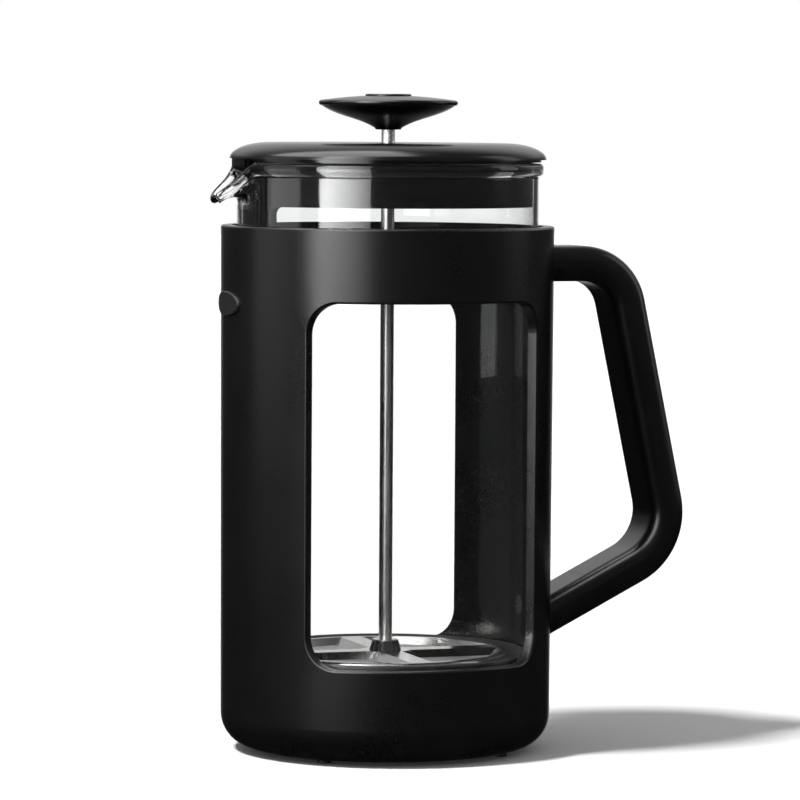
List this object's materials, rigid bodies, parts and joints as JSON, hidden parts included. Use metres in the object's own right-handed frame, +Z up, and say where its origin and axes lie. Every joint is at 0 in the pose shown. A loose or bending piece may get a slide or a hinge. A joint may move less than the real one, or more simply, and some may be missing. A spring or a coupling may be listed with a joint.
{
  "type": "french press",
  "caption": "Cylindrical glass coffee press in a windowed plastic shell with a loop handle, strainer lid, disc knob and steel plunger filter.",
  "frame": {"origin": "on the carafe's vertical axis, at the surface that the four feet stand on; the underside face named by the mount base is 0.9 mm above it", "axes": "+Z up along the plunger rod, +X from the axis to the handle, -X to the spout, and the windows face -Y and +Y"},
  "size_m": [0.1585, 0.107, 0.2107],
  "materials": {
    "shell_plastic": "satin black moulded plastic",
    "handle_plastic": "satin black moulded plastic",
    "badge_rubber": "matt black",
    "black_silicone": "matt black silicone",
    "seal_silicone": "matt black silicone",
    "carafe_glass": "clear borosilicate glass",
    "lid_plastic": "semi-gloss black moulded plastic",
    "strainer_plastic": "semi-gloss black moulded plastic",
    "knob_plastic": "semi-gloss black moulded plastic",
    "bushing_plastic": "plain black",
    "hub_plastic": "plain dark grey",
    "pressed_steel": "bright pressed stainless steel",
    "mesh_steel": "woven stainless wire",
    "polished_steel": "polished stainless steel",
    "screw_steel": "zinc plated",
    "insert_brass": "turned brass"
  },
  "bodies": {
    "housing": {"shell": "shell_plastic", "handle": "handle_plastic", "handle_cover": "handle_plastic", "handle_screws": "screw_steel", "badge": "badge_rubber", "base_cushion": "black_silicone", "carafe_bumpers": "black_silicone", "foot_1": "black_silicone", "foot_2": "black_silicone", "foot_3": "black_silicone", "foot_4": "black_silicone"},
    "carafe": {"carafe": "carafe_glass"},
    "lid": {"lid_cap": "lid_plastic", "lid_strainer": "strainer_plastic", "rod_bushing": "bushing_plastic"},
    "filter": {"cross_plate": "pressed_steel", "edge_seal": "seal_silicone", "mesh_screen": "mesh_steel", "sieve_plate": "pressed_steel", "hub_sleeve": "polished_steel", "hub_collar": "hub_plastic", "hub_washer": "polished_steel", "retaining_nut": "polished_steel"},
    "plunger": {"plunger_rod": "polished_steel", "knob_body": "knob_plastic", "knob_top": "knob_plastic", "knob_centre_cap": "knob_plastic", "knob_insert": "insert_brass"}
  },
  "joints": [
    {"name": "carafe_lift", "type": "slide", "parent": "housing", "child": "carafe", "axis": [0, 0, 1], "range_m": [0, 0.165]},
    {"name": "lid_lift", "type": "slide", "parent": "carafe", "child": "lid", "axis": [0, 0, 1], "range_m": [0, 0.175]},
    {"name": "plunger_slide", "type": "slide", "parent": "lid", "child": "filter", "axis": [0, 0, 1], "range_m": [0, 0.115]},
    {"name": "knob_turn", "type": "hinge", "parent": "filter", "child": "plunger", "pos_m": [0, 0, 0.2], "axis": [0, 0, 1], "continuous": true}
  ]
}
